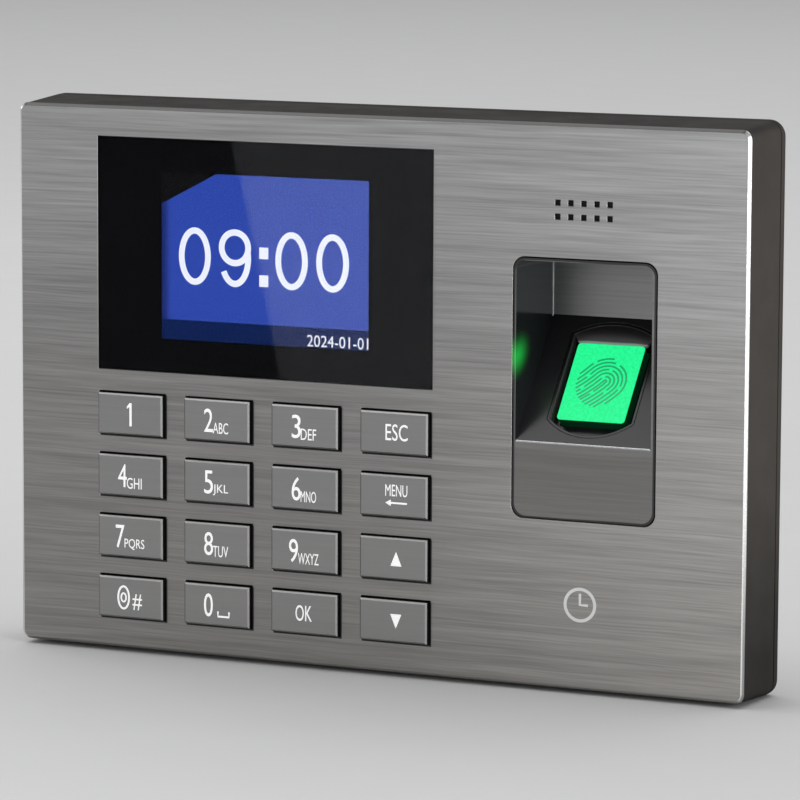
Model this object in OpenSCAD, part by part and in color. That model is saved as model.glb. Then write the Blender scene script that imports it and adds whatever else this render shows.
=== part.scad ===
// Wall-hung fingerprint time clock: a slim case with a brushed front plate, a display,
// a sixteen-key pad and a slanted finger well, hanging on a steel wall bracket.
// X runs to the right, Y into the wall and Z up. The wall's face is the plane y = 0.

/* [Body] */
// Width of the front plate
body_w = 198; // [190:1:210]
// Height of the front plate
body_h = 138; // [134:1:146]
// Distance from the wall to the front of the plate
body_d = 33; // [33:0.5:38]
// Depth of the visible side, from the plate's front to the rear rim
side_d = 21.5; // [20:0.5:23]
// Extra width and height on each side at the rear rim, from the draft of the walls
side_flare = 1.3; // [0.5:0.1:2]
// Corner radius of the front plate
corner_r = 2.4; // [1.5:0.1:4]
// Wall thickness of the case at the front edge
shell_t = 1.8; // [1.6:0.1:2.2]
// Thickness of the metal front plate
plate_t = 1.0; // [0.9:0.1:1.2]

/* [Display] */
// Width of the dark glass window
window_w = 92.8; // [86:0.2:96]
// Height of the dark glass window
window_h = 58.8; // [54:0.2:60]
// Centre of the window and of the keypad, to the right of the middle
display_x = -29.8; // [-32:0.2:-29]
// Centre of the window above the middle
display_z = 31.8; // [30:0.2:33]
// Width of the screen's lit area
screen_w = 57.4; // [54:0.2:58]
// Height of the screen's lit area
screen_h = 42.0; // [40:0.2:43]

/* [Keypad] */
// Width of a key's top
key_w = 18.3; // [16:0.1:19]
// Height of a key's top
key_h = 10.4; // [9:0.1:11]
// Spacing of the key columns
key_pitch_x = 24.5; // [23.4:0.1:24.8]
// Spacing of the key rows
key_pitch_z = 15.65; // [15:0.05:16]
// How far a key stands proud of the front plate
key_proud = 1.55; // [1.2:0.05:2]
// How far a key travels when it is pressed
key_travel = 1.0; // [0.6:0.1:1.0]
// Middle of the key rows, below the middle of the plate
keypad_z = -32.3; // [-33:0.1:-31]

/* [Finger well] */
// Width of the moulded insert
well_w = 37.2; // [35:0.2:38]
// Height of the moulded insert
well_h = 63.5; // [60:0.5:64]
// Centre of the insert to the right of the middle
well_x = 56.85; // [54:0.05:57]
// Centre of the insert above the middle
well_z = 4.35; // [3:0.05:5]
// Depth of the well's back panel behind the front of the plate
well_d = 22.9; // [21:0.1:23]
// Lean of the ramp away from the vertical
ramp_angle = 38.7; // [37:0.1:40]
// Height of the ramp's front lip
lip_z = -8.7; // [-10:0.1:-8]
// Width of the sensor's glass
glass_w = 17.7; // [16:0.1:18]
// Length of the sensor's glass along the ramp
glass_l = 22.0; // [20:0.1:23]

/* [Wall bracket] */
// Width of the bracket
bracket_w = 112; // [100:1:120]
// Height of the bracket
bracket_h = 76; // [70:1:80]
// Thickness of its steel sheet
bracket_t = 1.5; // [1.2:0.1:1.6]
// Spacing of the wall holes across
wall_hole_x = 88; // [80:1:92]
// Spacing of the wall holes up and down
wall_hole_z = 54; // [50:1:58]
// Diameter of the wall holes
wall_hole_d = 4.6; // [4:0.1:5]
// How far the case lifts before it comes off the hooks
lift = 8; // [6:1:8]

/* [Hidden] */
KEYS = ["key_1", "key_2", "key_3", "key_esc", "key_4", "key_5", "key_6", "key_menu",
        "key_7", "key_8", "key_9", "key_up", "key_hash", "key_0", "key_ok", "key_down"];
$fn = 48;
e = 0.01;                                   // keeps cuts from ending on a face

// planes, from the front to the wall
front_y = -body_d;
house_y = front_y + plate_t;                // front of the moulded housing
wall_y = house_y + 2;                       // back of its front wall
rear_y = front_y + side_d;                  // back of the rear rim
rim_y = rear_y - 1.4;                       // where its bevel starts
split_y = rear_y - 3.7;                     // joint between housing and rear cover
groove = 0.5;                               // width of the joint line outside
cover_y = rear_y - 2.2;                     // inside of the rear cover's skirt plate
box_y = -4.2;                               // back of the cover's raised box
box_in_y = box_y - 1.8;
flange_y = wall_y + 0.1;                    // front of a key's flange
flange_t = 1.0;
mat_y = flange_y + flange_t + key_travel + 0.3; // front of the rubber mat's web
board_y = mat_y + 1.0;                      // front of the main board
board_back = board_y + 1.6;

cavity_w = body_w - 2 * shell_t;
cavity_h = body_h - 2 * shell_t;
box_w = 168;
box_h = 96;

plate_bevel = 0.75;                         // chamfer round the front plate
case_r = 3.4;                               // corner radius of the case at its joint
rim_r = 4;                                  // and at the rear rim
rim_inset = 1.1;                            // how far that bevel draws the outline in
key_gap = 0.35;                             // clearance round a key in its opening
key_bevel = 0.4;
key_front = front_y - key_proud;

rim_t = 0.85;                               // rim of the finger well, before the shift
well_shift = 0.2;                           // the hollow lies this far left of and above it
ramp_t = 2.0;                               // thickness of its ramp
pocket_w = 22.8;                            // the oval pocket round the sensor
pocket_low = 2.0;                           // its ends, up the ramp from the lip
pocket_high = 35.1;
pocket_low_r = 16.2;                        // radii of the arcs that close it
pocket_high_r = 20.3;
pocket_d = 3.0;
tub_d = 4.5;                                // depth of the black bezel in the pocket
module_w = 22;                              // the sensor's module behind the ramp
module_l = 25.4;
module_v = 17.7;                            // middle of the sensor along the ramp
post_u = 15.4;                              // posts that hold its clamp
post_v = 19;

grille_x = 56.4;
grille_z = 48.1;
hole_pitch = 3.4;                           // spacing of the square holes of the grille
hole_w = 1.4;
speaker_z = 49.3;
speaker_r = 10;
cell_x = -2;
cell_z = 44;
SENSOR_SOCKET = [19, -16];
SPEAKER_SOCKET = [19, 40];

boss_x = 92.5;
boss_z = 62.6;
boss_mid = 31.5;
hook_w = 10;
hook_gap = 0.4;                             // between a hook and the case's wall
hook_y = box_in_y - hook_gap - bracket_t;   // front of the hooks
neck_h = 3;
hook_rise = 9;
screw_sink = 2.0;                           // depth of the recesses for the case screws

CASE_SCREWS = [for (x = [-boss_x, boss_mid, boss_x], z = [-boss_z, boss_z]) [x, z]];
BOARD_SCREWS = [for (x = [-80.4, 21.2], z = [-58, 1.4, 58]) [x, z]];
HOOKS = [for (x = [-30, 30], z = [-24, 20]) [x, z]];
EARS = [for (x = [-21.6, 21.6], z = [-22, 22]) [well_x + x, well_z + z]];
usb_x = -10;
jack_x = -36;
jack_d = 9;                                 // depth of the power jack's body
port_z = -body_h / 2 + 0.2;                 // mouths of the two ports

// a flat outline in the XZ plane, made solid from y0 back to y1
module slab(y0, y1) {
    translate([0, y1, 0]) rotate([90, 0, 0]) linear_extrude(y1 - y0) children();
}

// a solid through rounded outlines at several depths, each given as [y, width, height, radius]
module loft(sections) {
    n = 9;                                  // points round each corner
    points = [for (s = sections, c = [0:3], k = [0:n - 1])
        let (a = 90 * (c + k / (n - 1)), sx = c == 0 || c == 3 ? 1 : -1, sz = c < 2 ? 1 : -1)
            [sx * (s[1] / 2 - s[3]) + s[3] * cos(a), s[0], sz * (s[2] / 2 - s[3]) + s[3] * sin(a)]];
    ring = 4 * n;
    last = len(sections) - 1;
    walls = [for (i = [0:last - 1], k = [0:ring - 1])
        let (next = (k + 1) % ring)
            [i * ring + k, i * ring + next, (i + 1) * ring + next, (i + 1) * ring + k]];
    front = [for (k = [ring - 1:-1:0]) k];
    back = [for (k = [0:ring - 1]) last * ring + k];
    polyhedron(points, concat([front], walls, [back]), convexity = 2);
}

module rounded(w, h, r) {
    square([w - 2 * r, h], center = true);
    square([w, h - 2 * r], center = true);
    for (sx = [-1, 1], sz = [-1, 1]) translate([sx * (w / 2 - r), sz * (h / 2 - r)]) circle(r);
}

// a rod along Y at (x, z)
module rod(x, z, y0, y1, r) {
    translate([x, y1, z]) rotate([90, 0, 0]) cylinder(r = r, h = y1 - y0);
}

// extra half width of the case at depth y
function flare(y) = side_flare * (y - house_y) / (rear_y - house_y);

function key_x(i) = display_x + ((i % 4) - 1.5) * key_pitch_x;
function key_z(i) = keypad_z + (1.5 - floor(i / 4)) * key_pitch_z;

// the ramp's own axes: Y up the slope, Z out of its face, origin on the lip
module on_ramp() {
    translate([well_x, front_y, lip_z]) rotate([90 - ramp_angle, 0, 0]) children();
}

// a point given in the ramp's own axes
function ramp_point(u, v, w) = [well_x + u,
                                front_y + v * sin(ramp_angle) - w * cos(ramp_angle),
                                lip_z + v * cos(ramp_angle) + w * sin(ramp_angle)];

// outline of the oval pocket in the ramp, grown by g
module pocket(g) {
    half = pocket_w / 2 + g;
    mid = (pocket_low + pocket_high) / 2;
    intersection() {
        translate([0, pocket_low + pocket_low_r]) circle(pocket_low_r + g);
        translate([-half, mid - 30]) square([2 * half, 30]);
    }
    intersection() {
        translate([0, pocket_high - pocket_high_r]) circle(pocket_high_r + g);
        translate([-half, mid - e]) square([2 * half, 30]);
    }
}

// a round wire of radius r along the smooth curve through four control points
function curve(p, t) = pow(1 - t, 3) * p[0] + 3 * pow(1 - t, 2) * t * p[1]
                       + 3 * (1 - t) * t * t * p[2] + pow(t, 3) * p[3];
function slope(p, t) = 3 * pow(1 - t, 2) * (p[1] - p[0]) + 6 * (1 - t) * t * (p[2] - p[1])
                       + 3 * t * t * (p[3] - p[2]);
function unit(v) = v / norm(v);

module wire(p, r, rings, sides) {
    up = [0.1, 0.2, 1];
    points = [for (i = [0:rings])
        let (t = i / rings, a = unit(slope(p, t)), b = unit(cross(a, up)), c = cross(a, b))
            for (k = [0:sides - 1])
                curve(p, t) + r * (cos(360 * k / sides) * b + sin(360 * k / sides) * c)];
    walls = [for (i = [0:rings - 1], k = [0:sides - 1])
        let (n = (k + 1) % sides)
            [i * sides + k, i * sides + n, (i + 1) * sides + n, (i + 1) * sides + k]];
    near = [for (k = [sides - 1:-1:0]) k];
    far = [for (k = [0:sides - 1]) rings * sides + k];
    polyhedron(points, concat([near], walls, [far]), convexity = 4);
}

// ---- wall bracket ----

module wall_bracket() color([0.72, 0.73, 0.74]) {
    difference() {
        slab(-bracket_t, 0) rounded(bracket_w, bracket_h, 5);
        for (sx = [-1, 1], sz = [-1, 1])
            rod(sx * wall_hole_x / 2, sz * wall_hole_z / 2, -bracket_t - 1, 1, wall_hole_d / 2);
        for (h = HOOKS)
            translate([h[0] - hook_w / 2, -bracket_t - 1, h[1] + neck_h])
                cube([hook_w, bracket_t + 2, hook_rise]);
    }
    for (h = HOOKS) {
        translate([h[0] - hook_w / 2, hook_y, h[1]]) cube([hook_w, -hook_y - e, neck_h]);
        translate([h[0] - hook_w / 2, hook_y, h[1]]) cube([hook_w, bracket_t, neck_h + hook_rise]);
    }
}

// ---- case ----

// the case's outline at depth y, as a section for loft(), grown by g
function outline(y, r, g) = [y, body_w + 2 * (flare(y) + g), body_h + 2 * (flare(y) + g), r];

module rear_cover() color([0.28, 0.27, 0.26]) difference() {
    union() {
        difference() {
            union() {
                loft([outline(split_y + groove / 2, case_r, 0), outline(rim_y, rim_r, 0),
                      outline(rear_y, rim_r - rim_inset, -rim_inset)]);
                slab(split_y - 2, cover_y) rounded(cavity_w - 0.4, cavity_h - 0.4, 2);
                slab(cover_y, box_y) rounded(box_w, box_h, 6);
            }
            slab(split_y - 2 - e, cover_y) rounded(cavity_w - 3.2, cavity_h - 3.2, 1.5);
            slab(cover_y - e, box_in_y) rounded(box_w - 3.6, box_h - 3.6, 4.5);
        }
        for (p = CASE_SCREWS) rod(p[0], p[1], split_y, cover_y + 0.5, 3.6);
    }
    for (p = CASE_SCREWS) {
        rod(p[0], p[1], split_y - 3, rear_y + 1, 1.6);
        rod(p[0], p[1], rear_y - screw_sink, rear_y + 1, 3.1);
        rod(p[0], p[1], split_y - 3, split_y, 3.7);
    }
    for (h = HOOKS)
        translate([h[0] - hook_w / 2 - 0.5, box_in_y - 1, h[1] - lift - 0.6])
            cube([hook_w + 1, 3, lift + neck_h + 0.75]);
    for (i = [-4:4])
        translate([i * 5 - 58 - 0.9, box_in_y - 1, -36]) cube([1.8, 3, 14]);
    slab(split_y - 3, split_y - 0.3) translate([jack_x, port_z]) square([10, 10], center = true);
}

module front_housing() color([0.29, 0.28, 0.27]) {
    back = split_y - groove / 2;
    difference() {
        union() {
            difference() {
                loft([outline(house_y, corner_r + 0.4, 0), outline(back, case_r, 0)]);
                slab(wall_y, back + 1) rounded(cavity_w, cavity_h, 2);
            }
            for (p = CASE_SCREWS) rod(p[0], p[1], wall_y - e, split_y, 3.4);
            for (p = BOARD_SCREWS) rod(p[0], p[1], wall_y - e, board_y, 2.6);
            rod(grille_x, speaker_z, wall_y - e, wall_y + 4, speaker_r + 1.3);
        }
        for (p = CASE_SCREWS) rod(p[0], p[1], wall_y + 1, split_y + 1, 1.25);
        for (p = BOARD_SCREWS) rod(p[0], p[1], wall_y, board_y + 1, 1.0);
        rod(grille_x, speaker_z, wall_y, wall_y + 5, speaker_r + 0.1);
        slab(house_y - 1, wall_y + e) openings();
        slab(house_y - 1, house_y + 0.2)
            translate([display_x, display_z]) square([window_w - 2, window_h - 2], center = true);
        rod(grille_x, grille_z, house_y - 1, house_y + 0.3, 9);
        translate([usb_x - 6.9, board_back - 0.1, -body_h / 2 - 5]) cube([13.8, 6.4, 8]);
        translate([jack_x, board_back + jack_d / 2, -body_h / 2 - 5]) cylinder(r = 4.2, h = 8);
    }
    for (p = EARS) rod(p[0], p[1], wall_y - e, wall_y + 2.6, 1.15);
}

// the openings in the housing's front wall
module openings() {
    translate([display_x, display_z]) square([screen_w + 5.2, screen_h + 5.6], center = true);
    for (i = [0:15])
        translate([key_x(i), key_z(i)])
            square([key_w + 2 * key_gap, key_h + 2 * key_gap], center = true);
    translate([grille_x, grille_z]) circle(8);
    translate([well_x, well_z]) rounded(well_w + 0.3, well_h + 0.3, 3.1);
}

module faceplate() color([0.62, 0.62, 0.61]) difference() {
    loft([[front_y, body_w - 2 * plate_bevel, body_h - 2 * plate_bevel, corner_r - plate_bevel],
          [front_y + plate_bevel, body_w, body_h, corner_r],
          [house_y, body_w, body_h, corner_r]]);
    slab(front_y - 1, house_y + 1) {
        translate([display_x, display_z])
            square([window_w + 0.2, window_h + 0.2], center = true);
        for (i = [0:15])
            translate([key_x(i), key_z(i)])
                square([key_w + 2 * key_gap, key_h + 2 * key_gap], center = true);
        translate([well_x, well_z]) rounded(well_w + 0.6, well_h + 0.6, 3.2);
        for (i = [-2:2], j = [-0.5, 0.5])
            translate([grille_x + hole_pitch * i, grille_z + hole_pitch * j])
                square(hole_w, center = true);
    }
}

// ---- display ----

module display_window() color([0.02, 0.02, 0.025]) slab(front_y, house_y)
    translate([display_x, display_z]) square([window_w, window_h], center = true);

module window_tape() color([0.1, 0.1, 0.1]) slab(house_y, house_y + 0.2)
    translate([display_x, display_z]) difference() {
        square([window_w - 2, window_h - 2], center = true);
        square([screen_w + 6, screen_h + 6.4], center = true);
    }

module lcd_panel() color([0.1, 0.16, 0.5]) slab(house_y + 0.9, wall_y + 0.8)
    translate([display_x, display_z]) square([screen_w + 4.2, screen_h + 4.6], center = true);

module lcd_backlight() color([0.92, 0.93, 0.95]) slab(wall_y + 0.8, wall_y + 2.7)
    translate([display_x, display_z]) square([screen_w + 4.2, screen_h + 4.6], center = true);

module lcd_frame() color([0.75, 0.76, 0.77]) translate([display_x, 0, display_z])
    difference() {
        slab(wall_y + 0.1, wall_y + 3) square([screen_w + 8, screen_h + 8.6], center = true);
        slab(wall_y, wall_y + 2.7) square([screen_w + 4.6, screen_h + 5], center = true);
        slab(wall_y + 1.6, wall_y + 2.7)
            translate([0, -screen_h / 2 - 3]) square([25, 6], center = true);
    }

module lcd_flex() color([0.72, 0.42, 0.12])
    translate([display_x - 12, wall_y + 2.1, 2.2])
        cube([24, 0.3, display_z - screen_h / 2 - 4.5]);

// ---- keypad ----

module keycap(i) color([0.45, 0.45, 0.44]) translate([key_x(i), 0, key_z(i)]) {
    slab(key_front + key_bevel, flange_y + e) square([key_w, key_h], center = true);
    translate([0, key_front + key_bevel + e, 0])
        rotate([90, 0, 0])
            linear_extrude(key_bevel + e, slices = 1,
                           scale = [1 - 2 * key_bevel / key_w, 1 - 2 * key_bevel / key_h])
                square([key_w, key_h], center = true);
    slab(flange_y, flange_y + flange_t) square([key_w + 2.1, key_h + 2.1], center = true);
}

// a rubber web with a hollow-free dome under each key
module keypad_mat() color([0.5, 0.5, 0.52]) {
    slab(mat_y, board_y) translate([display_x, keypad_z])
        rounded(3 * key_pitch_x + key_w + 3, 3 * key_pitch_z + key_h + 3, 2);
    for (i = [0:15])
        translate([key_x(i), flange_y + flange_t, key_z(i)])
            rotate([-90, 0, 0])
                cylinder(r1 = 3, r2 = 4.2, h = mat_y - flange_y - flange_t + e);
}

// ---- electronics ----

module main_board() color([0.05, 0.32, 0.16]) difference() {
    slab(board_y, board_back) translate([-29.6, 0]) rounded(109, 123, 2);
    for (p = BOARD_SCREWS) rod(p[0], p[1], board_y - 1, board_back + 1, 1.2);
}

// a flat chip on the back of the board
module chip(x, z, w, h, t) {
    translate([x - w / 2, board_back, z - h / 2]) cube([w, t, h]);
}

module processor_chip() color([0.08, 0.08, 0.09]) chip(-38, 12, 14, 14, 1.2);

module memory_chips() color([0.1, 0.1, 0.11]) {
    chip(-62, 18, 8, 12, 1.1);
    chip(-62, 2, 8, 12, 1.1);
    chip(-14, 12, 5, 6, 1.0);
}

module power_capacitors() color([0.15, 0.2, 0.35])
    for (x = [-56, -64, -72]) rod(x, -46, board_back, board_back + 8, 3.2);

module coin_cell_holder() color([0.09, 0.09, 0.1]) difference() {
    rod(cell_x, cell_z, board_back, board_back + 4.6, 12);
    rod(cell_x, cell_z, board_back + 1.2, board_back + 5, 10.1);
    translate([cell_x - 4, board_back + 1.2, cell_z + 6]) cube([8, 5, 8]);
}

module coin_cell() color([0.8, 0.8, 0.8])
    rod(cell_x, cell_z, board_back + 1.2, board_back + 4.4, 10);

// sockets on the back of the board that the sensor's and the speaker's wires enter
module wire_sockets() color([0.93, 0.91, 0.85]) {
    chip(SENSOR_SOCKET[0], SENSOR_SOCKET[1], 6, 10, 4);
    chip(SPEAKER_SOCKET[0], SPEAKER_SOCKET[1], 6, 7, 4);
}

module flex_socket() color([0.9, 0.88, 0.82])
    translate([display_x - 13, wall_y + 1.9, -0.6]) cube([26, board_y - wall_y - 1.9, 2.8]);

module usb_port() color([0.78, 0.78, 0.78]) translate([usb_x - 6.6, board_back, port_z])
    difference() {
        cube([13.2, 5.8, 14]);
        translate([0.4, 0.4, -e]) cube([12.4, 5.0, 11]);
    }

module usb_tongue() color([0.9, 0.9, 0.92])
    translate([usb_x - 5.6, board_back + 3.0, port_z + 1.4]) cube([11.2, 1.9, 9.58]);

module dc_jack() color([0.07, 0.07, 0.07]) difference() {
    union() {
        translate([jack_x - 4.5, board_back, port_z + 3.2]) cube([9, jack_d, 11]);
        translate([jack_x, board_back + jack_d / 2, port_z]) cylinder(r = 4, h = 4);
    }
    translate([jack_x, board_back + jack_d / 2, port_z - 1]) cylinder(r = 3.15, h = 10.5);
}

module dc_jack_pin() color([0.8, 0.65, 0.3])
    translate([jack_x, board_back + jack_d / 2, port_z + 1.5]) cylinder(r = 1.0, h = 8);

// ---- speaker ----

module grille_cloth() color([0.04, 0.04, 0.04])
    rod(grille_x, grille_z, house_y, house_y + 0.3, 8.9);

module speaker_gasket() color([0.12, 0.12, 0.12]) difference() {
    rod(grille_x, speaker_z, wall_y, wall_y + 0.8, speaker_r);
    rod(grille_x, speaker_z, wall_y - 1, wall_y + 1, speaker_r - 2.4);
}

module speaker_frame() color([0.2, 0.2, 0.21]) difference() {
    rod(grille_x, speaker_z, wall_y + 0.8, wall_y + 5, speaker_r);
    rod(grille_x, speaker_z, wall_y, wall_y + 4, speaker_r - 1);
    rod(grille_x, speaker_z, wall_y, wall_y + 6, 5.6);
}

module speaker_cone() color([0.16, 0.15, 0.14])
    translate([grille_x, wall_y + 1.2, speaker_z]) rotate([-90, 0, 0])
        rotate_extrude($fn = 48)
            polygon([[8.9, 0], [8.9, 0.4], [3, 2.2], [0, 2.2], [0, 1.8], [2.8, 1.8]]);

module speaker_magnet() color([0.55, 0.55, 0.57])
    rod(grille_x, speaker_z, wall_y + 3.8, wall_y + 7.6, 5.5);

module speaker_wires() color([0.7, 0.1, 0.08])
    for (s = [-1, 1])
        wire([[grille_x - 8, wall_y + 4.6, speaker_z + 1.5 * s],
              [grille_x - 9, wall_y + 12, speaker_z - 2 + 1.5 * s],
              [SPEAKER_SOCKET[0] + 15, board_back + 2, SPEAKER_SOCKET[1] + 1 + 1.5 * s],
              [SPEAKER_SOCKET[0] + 2, board_back + 2, SPEAKER_SOCKET[1] + 1.2 * s]], 0.55, 14, 8);

// ---- finger well ----

well_back = front_y + well_d;
well_top = well_z + well_h / 2;
well_low = well_z - well_h / 2;
ramp_top = lip_z + well_d / tan(ramp_angle);
under = ramp_t / sin(ramp_angle);           // the ramp's thickness measured along Z

// an outline drawn in the YZ plane, w wide across the well
module across(w) {
    translate([well_x - w / 2, 0, 0]) rotate([90, 0, 90]) linear_extrude(w) children();
}

module finger_well() color([0.42, 0.42, 0.41]) difference() {
    union() {
        difference() {
            intersection() {
                slab(front_y, well_back + 1.6)
                    translate([well_x, well_z]) rounded(well_w, well_h, 3);
                across(well_w + 2)
                    polygon([[front_y, well_low], [front_y + 4, well_low],
                             [front_y + 4, lip_z - under + 3], [well_back + 1.6, ramp_top - 1.2],
                             [well_back + 1.6, well_top], [front_y, well_top]]);
            }
            intersection() {
                slab(front_y - 1, well_back)
                    translate([well_x - well_shift, well_z + well_shift])
                        rounded(well_w - 2 * rim_t, well_h - 2 * rim_t, 2.2);
                across(well_w)
                    polygon([[front_y - 1, lip_z - 1 / tan(ramp_angle)], [well_back, ramp_top],
                             [well_back, well_top], [front_y - 1, well_top]]);
            }
            translate([0, front_y + 2, 0])
                slab(0, 3) translate([well_x, (well_low + lip_z) / 2])
                    square([well_w - 4, lip_z - well_low - 5], center = true);
        }
        slab(flange_y, flange_y + 1.5) difference() {
            union() {
                translate([well_x, well_z]) rounded(well_w + 4, well_h + 3.4, 3);
                for (p = EARS) translate(p) rounded(7, 8, 2);
            }
            translate([well_x, well_z]) square([well_w - 1, well_h - 1], center = true);
        }
        on_ramp() for (s = [-1, 1]) translate([s * post_u, post_v, -9.4]) cylinder(r = 1.7, h = 9);
    }
    for (p = EARS) rod(p[0], p[1], flange_y - 1, flange_y + 3, 1.25);
    on_ramp() {
        translate([0, 0, -8]) linear_extrude(9) pocket(0.1);
        for (s = [-1, 1]) translate([s * post_u, post_v, -10]) cylinder(r = 0.85, h = 8);
    }
}

module well_clips() color([0.7, 0.7, 0.71])
    for (p = EARS) difference() {
        rod(p[0], p[1], flange_y + 1.5, flange_y + 1.9, 2.6);
        rod(p[0], p[1], flange_y + 1, flange_y + 3, 1.2);
    }

// ---- sensor ----

module sensor_bezel() color([0.04, 0.04, 0.04]) on_ramp() difference() {
    translate([0, 0, -tub_d]) linear_extrude(tub_d) pocket(0);
    translate([0, 0, -pocket_d]) linear_extrude(pocket_d + 1) pocket(-0.7);
    translate([0, module_v, -tub_d])
        cube([glass_w + 0.2, glass_l + 0.2, 4 * tub_d], center = true);
}

module sensor_glass() color([0.14, 1.0, 0.59]) on_ramp()
    translate([0, module_v, -5.6]) linear_extrude(5.8) rounded(glass_w, glass_l, 0.9);

module sensor_housing() color([0.1, 0.1, 0.1]) on_ramp() translate([0, module_v, -tub_d - 3.9])
    difference() {
        linear_extrude(3.9) rounded(module_w, module_l, 1.2);
        translate([0, 0, -e]) linear_extrude(2.8 + e) square([glass_w - 1, glass_l - 1], center = true);
        translate([0, 0, 2.8]) linear_extrude(3)
            square([glass_w + 0.2, glass_l + 0.2], center = true);
    }

module sensor_board() color([0.04, 0.25, 0.14]) on_ramp()
    translate([0, module_v, -tub_d - 4.9]) linear_extrude(1) rounded(module_w, module_l, 1.2);

module sensor_lights() color([0.6, 1, 0.7]) on_ramp()
    for (sx = [-1, 1], sy = [-1, 1])
        translate([sx * 6 - 0.8, module_v + sy * 8 - 1.5, -tub_d - 3.9]) cube([1.6, 3, 0.8]);

module sensor_clamp() color([0.74, 0.75, 0.76]) on_ramp() difference() {
    translate([0, post_v, -tub_d - 4.9 - 0.8]) linear_extrude(0.8) rounded(36, 8, 2);
    for (s = [-1, 1]) translate([s * post_u, post_v, -11]) cylinder(r = 1.0, h = 3);
}

module sensor_screws() color([0.6, 0.6, 0.62]) on_ramp()
    for (s = [-1, 1]) translate([s * post_u, post_v, 0]) {
        translate([0, 0, -tub_d - 5.7]) cylinder(r = 0.8, h = 6);
        translate([0, 0, -tub_d - 6.7]) cylinder(r = 1.7, h = 1);
    }

module sensor_cable() color([0.85, 0.84, 0.8])
    for (s = [-1, 0, 1])
        wire([ramp_point(-8 + 1.5 * s, 9, -tub_d - 4.6),
              ramp_point(-9 + 1.5 * s, 9, -tub_d - 10),
              [SENSOR_SOCKET[0] + 15, board_back + 2, SENSOR_SOCKET[1] - 1.5 * s],
              [SENSOR_SOCKET[0] + 2, board_back + 2, SENSOR_SOCKET[1] - 1.5 * s]], 0.5, 14, 8);

// ---- fasteners and label ----

module board_screws() color([0.7, 0.7, 0.72])
    for (p = BOARD_SCREWS) {
        rod(p[0], p[1], board_y - 2.6, board_back, 0.95);
        rod(p[0], p[1], board_back, board_back + 1.5, 2.1);
    }

module case_screws() color([0.55, 0.55, 0.57])
    for (p = CASE_SCREWS) difference() {
        union() {
            rod(p[0], p[1], split_y - 8, rear_y - screw_sink, 1.2);
            rod(p[0], p[1], rear_y - screw_sink, rear_y - 0.1, 2.8);
        }
        for (a = [0, 90])
            translate([p[0], rear_y - 0.1, p[1]]) rotate([0, a, 0])
                cube([3.2, 2, 0.7], center = true);
    }

module rating_plate() color([0.82, 0.83, 0.84]) slab(rear_y, rear_y + 0.25)
    translate([-30, -58.4]) rounded(58, 13, 1.2);

wall_bracket();
rear_cover();
front_housing();
faceplate();
display_window();
window_tape();
lcd_panel();
lcd_backlight();
lcd_frame();
lcd_flex();
for (i = [0:15]) keycap(i);
keypad_mat();
main_board();
processor_chip();
memory_chips();
power_capacitors();
coin_cell_holder();
coin_cell();
wire_sockets();
flex_socket();
usb_port();
usb_tongue();
dc_jack();
dc_jack_pin();
grille_cloth();
speaker_gasket();
speaker_frame();
speaker_cone();
speaker_magnet();
speaker_wires();
finger_well();
well_clips();
sensor_bezel();
sensor_glass();
sensor_housing();
sensor_board();
sensor_lights();
sensor_clamp();
sensor_screws();
sensor_cable();
board_screws();
case_screws();
rating_plate();
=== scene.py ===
import math

import bmesh
import bpy
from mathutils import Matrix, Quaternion, Vector


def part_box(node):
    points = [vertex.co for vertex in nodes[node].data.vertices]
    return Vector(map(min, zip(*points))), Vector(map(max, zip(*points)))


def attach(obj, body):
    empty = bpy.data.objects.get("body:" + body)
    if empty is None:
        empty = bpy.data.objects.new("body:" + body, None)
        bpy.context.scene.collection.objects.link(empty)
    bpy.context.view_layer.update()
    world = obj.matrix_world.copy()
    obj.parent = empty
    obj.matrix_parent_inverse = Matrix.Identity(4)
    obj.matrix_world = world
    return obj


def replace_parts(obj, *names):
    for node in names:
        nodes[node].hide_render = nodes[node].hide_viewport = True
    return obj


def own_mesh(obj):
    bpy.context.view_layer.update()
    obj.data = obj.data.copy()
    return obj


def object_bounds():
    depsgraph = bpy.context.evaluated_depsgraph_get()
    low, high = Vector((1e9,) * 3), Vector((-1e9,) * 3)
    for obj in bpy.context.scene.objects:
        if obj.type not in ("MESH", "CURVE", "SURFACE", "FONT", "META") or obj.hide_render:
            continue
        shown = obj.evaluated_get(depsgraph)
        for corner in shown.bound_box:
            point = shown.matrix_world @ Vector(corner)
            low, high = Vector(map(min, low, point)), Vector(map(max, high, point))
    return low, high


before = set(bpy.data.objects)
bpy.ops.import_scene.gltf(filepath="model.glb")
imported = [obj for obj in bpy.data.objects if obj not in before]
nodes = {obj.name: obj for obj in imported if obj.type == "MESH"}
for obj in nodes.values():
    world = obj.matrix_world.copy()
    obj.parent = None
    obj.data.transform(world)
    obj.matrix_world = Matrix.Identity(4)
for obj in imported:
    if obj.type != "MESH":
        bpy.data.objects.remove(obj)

# The looks of a wall-hung fingerprint time clock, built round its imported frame.
# Metres throughout, in the frame's axes: X to the right, Y into the wall, Z up.

cad_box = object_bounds()
scene = bpy.context.scene
MM = 0.001
RIGHT, INWARD, UP = (1, 0, 0), (0, 1, 0), (0, 0, 1)


def corners(points):
    """The lowest and highest corners of the box round these points."""
    low = Vector(min(p[axis] for p in points) for axis in range(3))
    high = Vector(max(p[axis] for p in points) for axis in range(3))
    return low, high


plate_low, plate_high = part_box("faceplate")
front_y = plate_low.y
window_low, window_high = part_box("display_window")
window_mid = (window_low + window_high) / 2

# the lit picture's middle and size, inside the panel's own border
lcd_low, lcd_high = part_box("lcd_panel")
screen_mid = Vector((window_mid.x, lcd_low.y, window_mid.z))
screen_w = lcd_high.x - lcd_low.x - 4.2 * MM
screen_h = lcd_high.z - lcd_low.z - 4.6 * MM

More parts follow.
